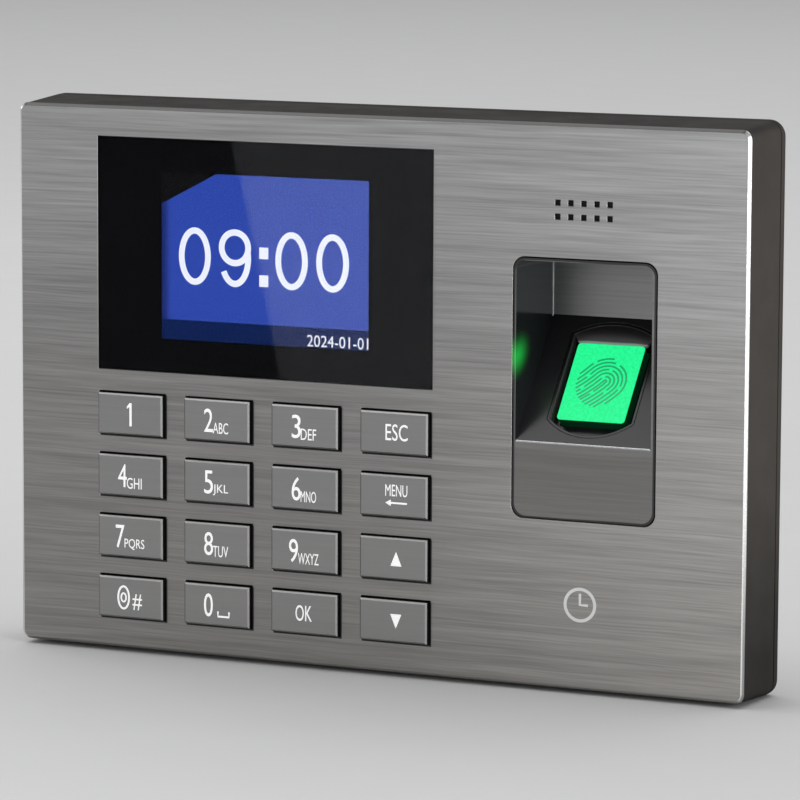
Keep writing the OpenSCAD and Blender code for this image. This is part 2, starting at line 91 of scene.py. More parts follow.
KEYS = [name for name in nodes if name.startswith("key_")]
key_front_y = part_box(KEYS[0])[0].y

# the ramp that carries the sensor: the directions up it and out of it, and the lit face
glass_low, glass_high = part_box("sensor_glass")
RAMP_LEAN = math.radians(38.7)
ramp_up = Vector((0, math.sin(RAMP_LEAN), math.cos(RAMP_LEAN)))
ramp_normal = Vector((0, -math.cos(RAMP_LEAN), math.sin(RAMP_LEAN)))
glass_points = [v.co for v in nodes["sensor_glass"].data.vertices]
top_w = max(p.dot(ramp_normal) for p in glass_points)
glass_u = (glass_low.x + glass_high.x) / 2
face_v = [p.dot(ramp_up) for p in glass_points if p.dot(ramp_normal) > top_w - 0.01 * MM]
glass_v = (min(face_v) + max(face_v)) / 2
glass_face = Vector((glass_u, 0, 0)) + ramp_up * glass_v + ramp_normal * top_w

# the inner corners of the finger well's back panel, and the corners of its front flange
WELL_BACK_THICKNESS = 1.6 * MM
well_points = [v.co for v in nodes["finger_well"].data.vertices]
rear_y = max(p.y for p in well_points) - WELL_BACK_THICKNESS
rear_low, rear_high = corners([p for p in well_points if abs(p.y - rear_y) < 0.05 * MM])
flange_low, flange_high = corners([p for p in well_points if p.y < front_y + 0.05 * MM])


# ---- shader helpers ----

class Shader:
    """A material with one Principled shader, and short calls for the nodes that feed it."""

    def __init__(self, name, colour, roughness, metallic=0.0, **constants):
        self.material = bpy.data.materials.new(name)
        self.material.use_nodes = True
        self.tree = self.material.node_tree
        self.tree.nodes.clear()
        self.shader = self.add("ShaderNodeBsdfPrincipled")
        output = self.add("ShaderNodeOutputMaterial")
        self.tree.links.new(self.shader.outputs["BSDF"], output.inputs["Surface"])
        self.set("Base Color", (*colour, 1.0))
        self.set("Roughness", roughness)
        self.set("Metallic", metallic)
        for socket, value in constants.items():
            self.set(socket.replace("_", " "), value)
        self.material.diffuse_color = (*colour, 1.0)
        coordinates = self.add("ShaderNodeTexCoord")
        self.place, self.normal = coordinates.outputs["Object"], coordinates.outputs["Normal"]

    def add(self, kind):
        return self.tree.nodes.new(kind)

    def set(self, socket, value):
        self.shader.inputs[socket].default_value = value

    def feed(self, socket, output):
        self.tree.links.new(output, self.shader.inputs[socket])

    def scaled(self, scale, offset=(0, 0, 0)):
        mapping = self.add("ShaderNodeMapping")
        mapping.inputs["Scale"].default_value = scale
        mapping.inputs["Location"].default_value = offset
        self.tree.links.new(self.place, mapping.inputs["Vector"])
        return mapping.outputs["Vector"]

    def noise(self, scale, detail=3.0, offset=(0, 0, 0)):
        """Noise whose grains are 1 / scale metres long on each axis."""
        texture = self.add("ShaderNodeTexNoise")
        texture.inputs["Scale"].default_value = 1.0
        texture.inputs["Detail"].default_value = detail
        self.tree.links.new(self.scaled(scale, offset), texture.inputs["Vector"])
        return texture.outputs["Fac"]

    def spread(self, value, low, high, to_low=0.0, to_high=1.0):
        """value from low..high to to_low..to_high, held at the ends."""
        node = self.add("ShaderNodeMapRange")
        node.interpolation_type = "SMOOTHSTEP"
        for socket, number in zip(("From Min", "From Max", "To Min", "To Max"),
                                  (low, high, to_low, to_high)):
            node.inputs[socket].default_value = number
        self.tree.links.new(value, node.inputs["Value"])
        return node.outputs["Result"]

    def fade(self, value, start, end):
        """1 up to start and 0 past end."""
        return self.spread(value, start, end, 1.0, 0.0)

    def maths(self, operation, a, b=0.0):
        node = self.add("ShaderNodeMath")
        node.operation = operation
        for socket, value in zip(node.inputs, (a, b)):
            if isinstance(value, (int, float)):
                socket.default_value = value
            else:
                self.tree.links.new(value, socket)
        return node.outputs["Value"]

    def mix(self, share, a, b):
        """A colour between a and b. Each is three numbers or a socket."""
        node = self.add("ShaderNodeMix")
        node.data_type = "RGBA"
        self.tree.links.new(share, node.inputs["Factor"])
        for socket, value in (("A", a), ("B", b)):
            colour_input = [i for i in node.inputs if i.name == socket and i.type == "RGBA"][0]
            if isinstance(value, tuple):
                colour_input.default_value = (*value, 1.0)
            else:
                self.tree.links.new(value, colour_input)
        return [o for o in node.outputs if o.type == "RGBA"][0]

    def along(self, direction, origin=(0, 0, 0)):
        """Distance from origin along a direction, in metres."""
        moved = self.add("ShaderNodeVectorMath")
        moved.operation = "SUBTRACT"
        moved.inputs[1].default_value = origin
        self.tree.links.new(self.place, moved.inputs[0])
        dot = self.add("ShaderNodeVectorMath")
        dot.operation = "DOT_PRODUCT"
        dot.inputs[1].default_value = direction
        self.tree.links.new(moved.outputs[0], dot.inputs[0])
        return dot.outputs["Value"]

    def sway(self, amount, length):
        """Makes what is drawn next rise and fall gently along X, by amount over a length."""
        slope = self.noise((1 / length, 0, 2 / length), 1.0)
        rise = self.add("ShaderNodeCombineXYZ")
        centred = self.maths("SUBTRACT", slope, 0.5)
        self.tree.links.new(self.maths("MULTIPLY", centred, amount), rise.inputs["Z"])
        moved = self.add("ShaderNodeVectorMath")
        moved.operation = "ADD"
        self.tree.links.new(self.place, moved.inputs[0])
        self.tree.links.new(rise.outputs["Vector"], moved.inputs[1])
        self.place = moved.outputs["Vector"]

    def facing(self, direction):
        """1 where the surface faces along a direction, either way, and 0 where it is edge on."""
        dot = self.add("ShaderNodeVectorMath")
        dot.operation = "DOT_PRODUCT"
        dot.inputs[1].default_value = direction
        self.tree.links.new(self.normal, dot.inputs[0])
        return self.maths("ABSOLUTE", dot.outputs["Value"])

    def current(self, socket):
        """What feeds a socket now: an output, or its own number."""
        links = self.shader.inputs[socket].links
        return links[0].from_socket if links else self.shader.inputs[socket].default_value

    def zone(self, share, colour, roughness, metallic=0.0):
        """Where share is 1 the surface has this finish instead of the one made so far."""
        self.feed("Base Color", self.mix(share, self.current("Base Color"), colour))
        rest = self.maths("SUBTRACT", 1.0, share)
        for socket, value in (("Roughness", roughness), ("Metallic", metallic)):
            kept = self.maths("MULTIPLY", rest, self.current(socket))
            new = self.maths("MULTIPLY", share, value)
            self.feed(socket, self.maths("ADD", kept, new))

    def shade(self, share, by):
        """Where share is 1 the colour made so far is multiplied by this."""
        colour = self.current("Base Color")
        node = self.add("ShaderNodeMix")
        node.data_type = "RGBA"
        node.blend_type = "MULTIPLY"
        first, second = [i for i in node.inputs if i.type == "RGBA"]
        self.tree.links.new(share, node.inputs["Factor"])
        self.tree.links.new(colour, first)
        second.default_value = (by, by, by, 1.0)
        self.feed("Base Color", [o for o in node.outputs if o.type == "RGBA"][0])

    def reach(self, centre, across, up, squeeze):
        """Distance from a point, over two directions. squeeze above 1 flattens it upward."""
        u = self.along(across, tuple(centre))
        v = self.maths("MULTIPLY", self.along(up, tuple(centre)), squeeze)
        squared = self.maths("ADD", self.maths("MULTIPLY", u, u), self.maths("MULTIPLY", v, v))
        return self.maths("SQRT", squared)

    def rim(self, low, high, radius, band):
        """1 within band of a rounded rectangle's outline, seen from the front, 0 further in."""
        centre = (low + high) / 2
        out = []
        for axis, direction in ((0, RIGHT), (2, UP)):
            off = self.maths("ABSOLUTE", self.along(direction, tuple(centre)))
            half = (high[axis] - low[axis]) / 2 - radius
            past = self.maths("MAXIMUM", self.maths("SUBTRACT", off, half), 0.0)
            out.append(self.maths("MULTIPLY", past, past))
        reach = self.maths("SQRT", self.maths("ADD", *out))
        return self.spread(reach, radius - band, radius - 0.6 * band)

    def bump(self, height, distance, strength=1.0):
        node = self.add("ShaderNodeBump")
        node.inputs["Distance"].default_value = distance
        node.inputs["Strength"].default_value = strength
        self.tree.links.new(height, node.inputs["Height"])
        self.feed("Normal", node.outputs["Normal"])


def tinted(colour, by):
    return tuple(min(1.0, c * by) for c in colour)


def moulded(name, colour, roughness, grain=2600.0, depth=0.012, **constants):
    """Moulded plastic: a fine spark-eroded texture, slight cloudiness and handled patches."""
    s = Shader(name, colour, roughness, **constants)
    cloud = s.noise((45, 45, 45), 2.0)
    s.feed("Base Color", s.mix(cloud, tinted(colour, 0.86), tinted(colour, 1.14)))
    texture = s.noise((grain, grain, grain), 2.0)
    wear = s.noise((90, 90, 90), 4.0, offset=(3, 1, 2))
    s.feed("Roughness", s.spread(wear, 0.3, 0.7, roughness - 0.06, min(1.0, roughness + 0.07)))
    s.bump(texture, depth * MM, 0.6)
    return s


def plastic(name, colour, roughness, grain=2600.0, depth=0.012, **constants):
    return moulded(name, colour, roughness, grain, depth, **constants).material


def sheet_metal(name, colour, roughness, **constants):
    """Plated steel: faint rolling lines and a mottled bloom."""
    s = Shader(name, colour, roughness, 1.0, **constants)
    lines = s.noise((60, 900, 2400), 3.0)
    bloom = s.noise((160, 160, 160), 3.0)
    s.feed("Base Color", s.mix(bloom, tinted(colour, 0.85), tinted(colour, 1.12)))
    s.feed("Roughness", s.spread(lines, 0.3, 0.7, roughness - 0.08, roughness + 0.1))
    s.bump(lines, 0.006 * MM, 0.5)
    return s.material


def brushed(name, colour, roughness, metallic, contrast, anisotropic, depth, top_gain=1.0):
    """Metal brushed along X, in fine streaks gathered into broader bands. depth is the
    scratches' in millimetres. Painted light: at the plate's top the colour is top_gain times as
    bright as at its foot, and a neutral grey, a painted reflection that lightens upward."""
    s = Shader(name, colour, roughness, metallic, Anisotropic=anisotropic,
               Anisotropic_Rotation=0.25)
    s.sway(0.9 * MM, 30 * MM)
    fine = s.noise((42, 0, 2400), 3.0)
    streak = s.noise((12, 0, 850), 1.0, offset=(2, 0, 5))
    band = s.noise((5, 0, 220), 1.0, offset=(7, 0, 1))
    grain = s.maths("ADD", s.maths("MULTIPLY", fine, 0.6), s.maths("MULTIPLY", streak, 0.4))
    tone = s.maths("ADD", s.maths("MULTIPLY", grain, 0.8), s.maths("MULTIPLY", band, 0.2))
    share = s.spread(tone, 0.25, 0.75)
    foot = s.mix(share, tinted(colour, 1 - contrast), tinted(colour, 1 + contrast))
    # painted light: the colour is painted greyer and brighter toward the plate's top, a painted
    # reflection
    grey = (sum(colour) / 3,) * 3
    head = s.mix(share, tinted(grey, (1 - contrast) * top_gain),
                 tinted(grey, (1 + contrast) * top_gain))
    height = s.spread(s.along(UP), plate_low.z, plate_high.z)
    s.feed("Base Color", s.mix(height, foot, head))
    s.feed("Roughness", s.spread(grain, 0.3, 0.7, roughness - 0.03, roughness + 0.03))
    tangent = s.add("ShaderNodeTangent")
    tangent.direction_type = "RADIAL"
    tangent.axis = "Z"
    s.feed("Tangent", tangent.outputs["Tangent"])
    s.bump(grain, depth * MM, 0.7)
    return s


def glow(name, colour, strength=1.0, **constants):
    """A lit surface with a faintly uneven light."""
    s = Shader(name, tinted(colour, 0.1), 0.3, **constants)
    uneven = s.noise((130, 130, 130), 2.0)
    s.feed("Emission Color", s.mix(uneven, tinted(colour, 0.94), tinted(colour, 1.04)))
    s.set("Emission Strength", strength)
    return s.material


# ---- materials ----

def plate_metal():
    """The brushed plate, with painted shade to the lower left, a painted reflection of a dark room.
    Its side chamfers are polished bright, with painted shade toward their foot, and its top one
    is painted dark and dull."""
    s = brushed("plate_metal", (0.415, 0.399, 0.381), roughness=0.33, metallic=1.0,
                contrast=0.27, anisotropic=0.6, depth=0.005, top_gain=1.17)
    # painted shade: darker toward the lower left, a painted reflection of a dark room
    leftward = s.fade(s.along(RIGHT), -25 * MM, 95 * MM)
    downward = s.spread(s.along(UP), 5 * MM, 62 * MM, 1.0, 0.05)
    s.shade(s.maths("MULTIPLY", leftward, downward), 0.73)
    # painted shade: the top chamfer is painted dark, and made duller
    level_chamfer = s.spread(s.facing(UP), 0.25, 0.45)
    top_half = s.spread(s.along(UP), 0.0, 1 * MM)
    s.zone(s.maths("MULTIPLY", level_chamfer, top_half), (0.12, 0.118, 0.115), 0.45, 1.0)
    side_chamfer = s.spread(s.facing(RIGHT), 0.25, 0.45)
    s.zone(side_chamfer, (0.86, 0.86, 0.85), 0.22, 1.0)
    # painted shade: the side chamfers are painted dark toward their foot, behind the front edge
    low = s.fade(s.along(UP), -60 * MM, -15 * MM)
    behind_front = s.spread(s.along(INWARD, (0, front_y, 0)), 0.1 * MM, 0.4 * MM)
    side_foot = s.maths("MULTIPLY", s.maths("MULTIPLY", low, behind_front), s.facing(RIGHT))
    s.shade(side_foot, 0.08)
    return s.material


def trim_metal():
    """Polished metal with a faint bloom."""
    s = Shader("trim_metal", (0.62, 0.63, 0.64), 0.25, 1.0)
    bloom = s.noise((120, 120, 120), 2.0)
    s.feed("Base Color", s.mix(bloom, (0.55, 0.56, 0.57), (0.68, 0.69, 0.70)))
    s.feed("Roughness", s.spread(bloom, 0.3, 0.7, 0.20, 0.32))
    return s.material


def key_metal():
    """A brushed cap on a black moulded key. The black sides are partly painted shade, for the gaps
    round the key.
    """
    s = brushed("key_metal", (0.31, 0.308, 0.302), roughness=0.38, metallic=0.9,
                contrast=0.05, anisotropic=0.35, depth=0.004)
    behind_front = s.along(INWARD, (0, key_front_y, 0))
    # black sides: the key's own moulding, and painted shade in the gaps round it
    moulded_and_shaded_sides = s.spread(behind_front, 0.42 * MM, 0.50 * MM)
    s.zone(moulded_and_shaded_sides, (0.006, 0.006, 0.006), 0.5)
    return s.material


def well_metal():
    """Brushed where it faces forward, with painted shade on its outline and lower panel, dark gloss
    down the ramp, and polished on the walls. A painted green glow on the left wall stands in for
    the lit sensor's light."""
    s = brushed("well_metal", (0.25, 0.244, 0.234), roughness=0.36, metallic=0.9,
                contrast=0.15, anisotropic=0.4, depth=0.006)
    # painted shade: the lower panel is painted darker
    lower_panel = s.fade(s.along(UP), -12 * MM, -9 * MM)
    s.shade(lower_panel, 0.88)
    # painted shade: a dark band painted round the front flange's outline
    outline = s.rim(flange_low, flange_high, 3.4 * MM, 0.6 * MM)
    s.zone(outline, (0.06, 0.06, 0.06), 0.4, 0.9)
    not_upright = s.fade(s.facing(INWARD), 0.90, 0.97)
    s.zone(not_upright, (0.016, 0.016, 0.017), 0.24)
    walls = s.spread(s.facing(RIGHT), 0.90, 0.97)
    s.zone(walls, (0.175, 0.190, 0.205), 0.13, 0.9)
    # painted light: a green glow painted on the left wall as emission, where the lit sensor would
    # light it
    left_wall = s.fade(s.along(RIGHT, (rear_low.x, 0, 0)), 0.02 * MM, 0.10 * MM)
    patch = Vector((rear_low.x, front_y + 1.0 * MM, glass_face.z + 6.5 * MM))
    near = s.fade(s.reach(patch, (0, 1, -0.35), UP, 1.3), 0.0, 10.0 * MM)
    s.feed("Emission Color", s.mix(near, (0.0, 0.0, 0.0), (0.006, 0.36, 0.040)))
    s.feed("Emission Strength", s.maths("MULTIPLY", near, left_wall))
    return s.material


def bezel_black():
    """Black gloss; the pocket's walls are satin, with painted light that makes them paler."""
    s = Shader("bezel_black", (0.008, 0.008, 0.009), 0.2)
    wear = s.noise((300, 300, 300), 3.0)
    s.feed("Base Color", s.mix(wear, (0.007, 0.007, 0.008), (0.011, 0.011, 0.012)))
    s.feed("Roughness", s.spread(wear, 0.3, 0.7, 0.16, 0.26))
    # painted light: the pocket's walls are painted paler, as if lit
    walls = s.fade(s.facing(tuple(ramp_normal)), 0.4, 0.7)
    s.zone(walls, (0.16, 0.155, 0.155), 0.35)
    s.bump(s.noise((2600, 2600, 2600), 2.0), 0.006 * MM, 0.5)
    return s.material


def case_finish():
    """The dark case, with painted shade where it faces up and toward its foot."""
    s = moulded("case_plastic", (0.076, 0.068, 0.060), 0.6, Specular_IOR_Level=0.12)
    # painted shade: darker where the case faces up and toward its foot
    level = s.spread(s.facing(UP), 0.3, 0.9)
    s.shade(level, 0.35)
    foot = s.fade(s.along(UP), -65 * MM, -5 * MM)
    s.shade(foot, 0.35)
    return s.material


case_plastic = case_finish()
black_plastic = plastic("black_plastic", (0.016, 0.016, 0.017), 0.45)
gloss_black = plastic("gloss_black", (0.010, 0.010, 0.011), 0.16, 1200.0, 0.004)
white_plastic = plastic("white_plastic", (0.78, 0.77, 0.73), 0.45)
chip_black = plastic("chip_black", (0.02, 0.02, 0.022), 0.55, 5000.0)
zinc = sheet_metal("zinc", (0.62, 0.63, 0.65), 0.34)
screw_steel = sheet_metal("screw_steel", (0.50, 0.50, 0.52), 0.3)
brass = sheet_metal("brass", (0.72, 0.53, 0.24), 0.28)


def rubber(name, colour):
    s = Shader(name, colour, 0.8, Sheen_Weight=0.2)
    dust = s.noise((700, 700, 700), 4.0)
    s.feed("Base Color", s.mix(dust, tinted(colour, 0.8), tinted(colour, 1.3)))
    s.bump(s.noise((3500, 3500, 3500), 2.0), 0.02 * MM, 0.7)
    return s.material


def woven(name, colour):
    """Black dust cloth: two crossed sets of threads."""
    s = Shader(name, colour, 0.9)
    threads = []
    for direction in (RIGHT, UP):
        turns = s.maths("MULTIPLY", s.along(direction), 2 * math.pi / (0.35 * MM))
        threads.append(s.maths("ABSOLUTE", s.maths("SINE", turns)))
    weave = s.maths("MAXIMUM", *threads)
    s.feed("Base Color", s.mix(weave, tinted(colour, 0.4), tinted(colour, 1.6)))
    s.bump(weave, 0.05 * MM)
    return s.material


def circuit_board(name, colour):
    """Solder mask over copper tracks, with the glass weave under it."""
    s = Shader(name, colour, 0.35, Coat_Weight=0.3)
    tracks = s.noise((420, 420, 90), 1.0)
    off_edge = s.maths("ABSOLUTE", s.maths("SUBTRACT", tracks, 0.5))
    edge = s.fade(off_edge, 0.01, 0.03)
    s.feed("Base Color", s.mix(edge, colour, tinted(colour, 2.2)))
    s.bump(edge, 0.03 * MM, 0.5)
    return s.material


board_green = circuit_board("board_green", (0.012, 0.09, 0.035))
foam = rubber("foam", (0.03, 0.03, 0.03))
cloth = woven("cloth", (0.012, 0.012, 0.012))
paper = rubber("cone_paper", (0.05, 0.045, 0.04))
capacitor_sleeve = plastic("capacitor_sleeve", (0.02, 0.035, 0.12), 0.3)
flex_film = plastic("flex_film", (0.42, 0.16, 0.03), 0.3)
wire_red = plastic("wire_red", (0.45, 0.02, 0.015), 0.4)
wire_white = plastic("wire_white", (0.68, 0.67, 0.63), 0.4)
label_film = sheet_metal("label_film", (0.70, 0.71, 0.72), 0.5)
plate_print = plastic("plate_print", (0.86, 0.86, 0.85), 0.5, 4000.0, 0.004)
black_rubber = rubber("black_rubber", (0.012, 0.012, 0.012))
window_ink = plastic("window_ink", (0.003, 0.003, 0.004), 0.5, Specular_IOR_Level=0.0)
green_lamp = glow("green_lamp", (0.10, 1.0, 0.35), 1.5)


def legend_white():
    """White legends with a faint painted glow that makes them brighter."""
    s = Shader("legend_white", (0.86, 0.86, 0.85), 0.5)
    uneven = s.noise((1800, 1800, 1800), 2.0)
    s.feed("Base Color", s.mix(uneven, (0.82, 0.82, 0.81), (0.90, 0.90, 0.89)))
    # painted light: the print glows faintly, though no lamp lights it
    s.feed("Emission Color", s.mix(uneven, (0.90, 0.90, 0.88), (1.0, 1.0, 0.98)))
    s.set("Emission Strength", 0.42)
    return s.material


def window_glass():
    """Coated cover glass, which mirrors little."""
    s = Shader("window_glass", (0.93, 0.95, 0.97), 0.02, IOR=1.15, Transmission_Weight=1.0)
    smears = s.noise((38, 38, 70), 3.0)
    s.feed("Roughness", s.spread(smears, 0.35, 0.75, 0.0, 0.012))
    return s.material


def screen_blue():
    """The lit picture, with painted shade along its left edge, where the thick glass would shade
    it.
    """
    s = Shader("screen_blue", (0.001, 0.002, 0.01), 0.03, Specular_IOR_Level=0.1)
    # painted shade: the picture is dimmer along its left edge
    from_left = s.spread(s.along(RIGHT, (screen_mid.x - screen_w / 2, 0, 0)), 0.0, 2.5 * MM)
    lit = s.mix(from_left, (0.006, 0.018, 0.14), (0.018, 0.056, 0.39))
    pixels = s.noise((900, 10, 900), 1.0)
    s.feed("Emission Color", s.mix(s.spread(pixels, 0.3, 0.7, 0.0, 0.08), lit, (0.03, 0.08, 0.5)))
    s.set("Emission Strength", 1.0)
    return s.material


# ---- shapes ----

def finished(name, bm, material, body, smooth=False):
    """The piece that a closed bmesh describes, riding on a body."""
    bmesh.ops.recalc_face_normals(bm, faces=bm.faces)
    mesh = bpy.data.meshes.new(name)
    bm.to_mesh(mesh)
    bm.free()
    piece = bpy.data.objects.new(name, mesh)
    scene.collection.objects.link(piece)
    mesh.materials.append(material)
    for polygon in mesh.polygons:
        polygon.use_smooth = smooth
    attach(piece, body)
    return piece


def rounded(piece, width):
    """Rounds a piece's sharp edges, and returns the modifier that does it."""
    bevel = piece.modifiers.new("edges", "BEVEL")
    bevel.width = width
    bevel.segments = 2
    bevel.limit_method = "ANGLE"
    bevel.harden_normals = True
    return bevel


class Artwork:
    """Thin flat shapes in one plane, gathered into one mesh. u runs right and v up."""

    def __init__(self, origin, right, up, thickness):
        self.bm = bmesh.new()
        self.origin, self.right, self.up = Vector(origin), Vector(right), Vector(up)
        self.out = self.right.cross(self.up) * thickness

    def point(self, u, v, level):
        return self.origin + self.right * u + self.up * v + self.out * level

    def prism(self, outline):
        """A flat plate with this outline, given anticlockwise."""
        front = [self.bm.verts.new(self.point(u, v, 1)) for u, v in outline]
        back = [self.bm.verts.new(self.point(u, v, 0)) for u, v in outline]
        self.bm.faces.new(front)
        self.bm.faces.new(back[::-1])
        for i in range(len(outline)):
            j = (i + 1) % len(outline)
            self.bm.faces.new((front[i], back[i], back[j], front[j]))

    def ribbon(self, points, width, closed=False):
        """A line of even width through points."""
        count = len(points)
        rings = []
        for i, (u, v) in enumerate(points):
            before = points[(i - 1) % count] if closed or i else points[i]
            after = points[(i + 1) % count] if closed or i < count - 1 else points[i]
            run = Vector((after[0] - before[0], after[1] - before[1])).normalized()
            side = Vector((-run.y, run.x)) * width / 2
            rings.append([self.bm.verts.new(self.point(u + s * side.x, v + s * side.y, level))
                          for s, level in ((1, 1), (-1, 1), (-1, 0), (1, 0))])
        for i in range(count if closed else count - 1):
            a, b = rings[i], rings[(i + 1) % count]
            for k in range(4):
                self.bm.faces.new((a[k], b[k], b[(k + 1) % 4], a[(k + 1) % 4]))
        if not closed:
            self.bm.faces.new(rings[0])
            self.bm.faces.new(rings[-1][::-1])

    def box(self, u, v, width, height):
        self.prism([(u - width / 2, v - height / 2), (u + width / 2, v - height / 2),
                    (u + width / 2, v + height / 2), (u - width / 2, v + height / 2)])

    def oval(self, u, v, width, height, stroke, sides=48):
        self.ribbon(arc(u, v, (width - stroke) / 2, (height - stroke) / 2, 0, 360, sides)[:-1],
                    stroke, closed=True)

    def words(self, text, u, v, width, height):
        """Lettering stretched to fill a box centred on (u, v)."""
        curve = bpy.data.curves.new("lettering", "FONT")
        curve.body = text
        curve.resolution_u = 4
        curve.extrude = 0.5
        carrier = bpy.data.objects.new("lettering", curve)
        scene.collection.objects.link(carrier)
        bpy.context.view_layer.update()
        mesh = bpy.data.meshes.new_from_object(carrier)
        bpy.data.objects.remove(carrier)
        xs = [p.co.x for p in mesh.vertices]
        ys = [p.co.y for p in mesh.vertices]
        for p in mesh.vertices:
            a = u + ((p.co.x - min(xs)) / (max(xs) - min(xs)) - 0.5) * width
            b = v + ((p.co.y - min(ys)) / (max(ys) - min(ys)) - 0.5) * height
            p.co = self.point(a, b, p.co.z + 0.5)
        self.bm.from_mesh(mesh)
        bpy.data.meshes.remove(mesh)

    def piece(self, name, material, body, slot):
        bmesh.ops.remove_doubles(self.bm, verts=self.bm.verts, dist=0.0001 * MM)
        return finished(name, self.bm, material, body)


def arc(u, v, ru, rv, start, end, steps=24):
    """Points round an ellipse, from start to end in degrees, anticlockwise from the right."""
    angles = [math.radians(start + (end - start) * i / steps) for i in range(steps + 1)]
    return [(u + ru * math.cos(a), v + rv * math.sin(a)) for a in angles]


def front_art(x, y, z, thickness):
    """Artwork that faces the front, its origin at (x, z), its back at depth y."""
    return Artwork((x, y, z), RIGHT, UP, thickness)


# ---- carried-over CAD nodes ----

FINISHES = {
    "wall_bracket": zinc, "rear_cover": case_plastic, "front_housing": case_plastic,
    "faceplate": plate_metal(), "display_window": window_glass(), "window_tape": foam,
    "lcd_panel": gloss_black, "lcd_backlight": white_plastic, "lcd_frame": zinc,
    "lcd_flex": flex_film, "keypad_mat": black_rubber, "main_board": board_green,
    "processor_chip": chip_black, "memory_chips": chip_black,
    "power_capacitors": capacitor_sleeve, "coin_cell_holder": black_plastic,
    "coin_cell": zinc, "wire_sockets": white_plastic, "flex_socket": white_plastic,
    "usb_port": zinc, "usb_tongue": white_plastic, "dc_jack": black_plastic,
    "dc_jack_pin": brass, "grille_cloth": cloth, "speaker_gasket": foam,
    "speaker_frame": black_plastic, "speaker_cone": paper, "speaker_magnet": zinc,
    "speaker_wires": wire_red, "finger_well": well_metal(), "well_clips": zinc,
    "sensor_bezel": bezel_black(), "sensor_housing": black_plastic,
    "sensor_board": board_green, "sensor_lights": green_lamp, "sensor_clamp": zinc,
    "sensor_screws": screw_steel, "sensor_cable": wire_white, "board_screws": screw_steel,
    "case_screws": screw_steel, "rating_plate": label_film,
}
key_finish = key_metal()
for key in KEYS:
    FINISHES[key] = key_finish

# width of the rounding that each moulded or pressed edge has, in millimetres
EDGES = {"faceplate": 0.12, "front_housing": 0.25, "rear_cover": 0.3, "finger_well": 0.18,
         "sensor_bezel": 0.12, "sensor_glass": 0.12, "wall_bracket": 0.15, "rating_plate": 0.05,
         "usb_port": 0.08, "dc_jack": 0.2, **{key: 0.12 for key in KEYS}}


def soften(node, width):
    """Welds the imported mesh, merges its flat triangles and rounds its sharp edges."""
    shape = nodes[node]
    if "custom_normal" in shape.data.attributes:
        shape.data.attributes.remove(shape.data.attributes["custom_normal"])
    weld = shape.modifiers.new("weld", "WELD")
    weld.merge_threshold = 0.001 * MM
    flat = shape.modifiers.new("flat", "DECIMATE")
    flat.decimate_type = "DISSOLVE"
    flat.angle_limit = math.radians(0.5)
    bevel = rounded(shape, width * MM)
    bevel.angle_limit = math.radians(28)
    bevel.use_clamp_overlap = True


def sensor_green():
    """The lit prism: bright on its face and dark down its sides."""
    s = Shader("sensor_green", (0.001, 0.02, 0.007), 0.35, Specular_IOR_Level=0.15)
    speckle = s.noise((1500, 1500, 1500), 2.0)
    depth = s.along(ramp_normal, glass_face)
    face = s.spread(depth, -0.35 * MM, -0.05 * MM, 0.012, 1.0)
    grain = s.spread(speckle, 0.3, 0.7, 0.92, 1.04)
    s.feed("Emission Color", s.mix(speckle, (0.019, 0.92, 0.28), (0.025, 0.98, 0.33)))
    s.feed("Emission Strength", s.maths("MULTIPLY", face, grain))
    return s.material


FINISHES["sensor_glass"] = sensor_green()
for node, finish in FINISHES.items():
    shape = nodes[node]
    shape.data.materials.clear()
    shape.data.materials.append(finish)
for node, width in EDGES.items():
    soften(node, width)


# ---- the screen ----

def build_screen():
    """The lit picture in layers: background, status corner, date strip, and the time."""
    layer = 0.02 * MM
    hidden = 0.6 * MM
    y = screen_mid.y - 0.005 * MM
    half_w, half_h = screen_w / 2, screen_h / 2
    ground = front_art(screen_mid.x, y, screen_mid.z, layer)
    ground.box(0, 0, screen_w + 2 * hidden, screen_h + 2 * hidden)
    ground.piece("screen_picture", screen_blue(), "clock", "screen")

    strip_h = 4.9 * MM
    corner_w, corner_h, slant = 8.6 * MM, 5.8 * MM, 6.4 * MM
    dark = front_art(screen_mid.x, y - layer, screen_mid.z, layer)
    foot = half_h - corner_h - 2 * MM
    dark.prism([(-half_w - hidden, foot), (-half_w, foot),
                (-half_w + slant + corner_w, half_h), (-half_w + slant + corner_w, half_h + hidden),
                (-half_w - hidden, half_h + hidden)])
    dark.piece("screen_status_corner", window_ink, "clock", "screen")
    strip = front_art(screen_mid.x, y - layer, screen_mid.z, layer)
    strip.box(0, -half_h + (strip_h - hidden) / 2, screen_w + 2 * hidden, strip_h + hidden)
    strip.piece("screen_date_strip", glow("screen_navy", (0.0008, 0.010, 0.075),
                                       Specular_IOR_Level=0.0), "clock", "screen")

    lit = front_art(screen_mid.x, y - 2 * layer, screen_mid.z, layer)
    stroke, low, high = 1.6 * MM, -7.1 * MM, 7.4 * MM
    mid, tall = (low + high) / 2, high - low
    wide = 9.0 * MM
    for zero in (-19.85, 7.15, 18.45):
        lit.oval(zero * MM, mid, wide, tall, stroke)
    nine = -8.6 * MM
    bowl = 0.64 * tall
    lit.oval(nine, high - bowl / 2, wide, bowl, stroke)
    ru = (wide - stroke) / 2
    lit.ribbon(arc(nine, mid, ru, (tall - stroke) / 2, 12, -148), stroke)
    for dot in (1.75, -5.2):
        lit.box(-0.55 * MM, dot * MM, 2.5 * MM, 2.9 * MM)
    lit.words("2024-01-01", 19.9 * MM, -19.4 * MM, 16.8 * MM, 2.9 * MM)
    lit.piece("screen_time", glow("screen_white", (0.82, 0.84, 0.92)), "clock", "screen")


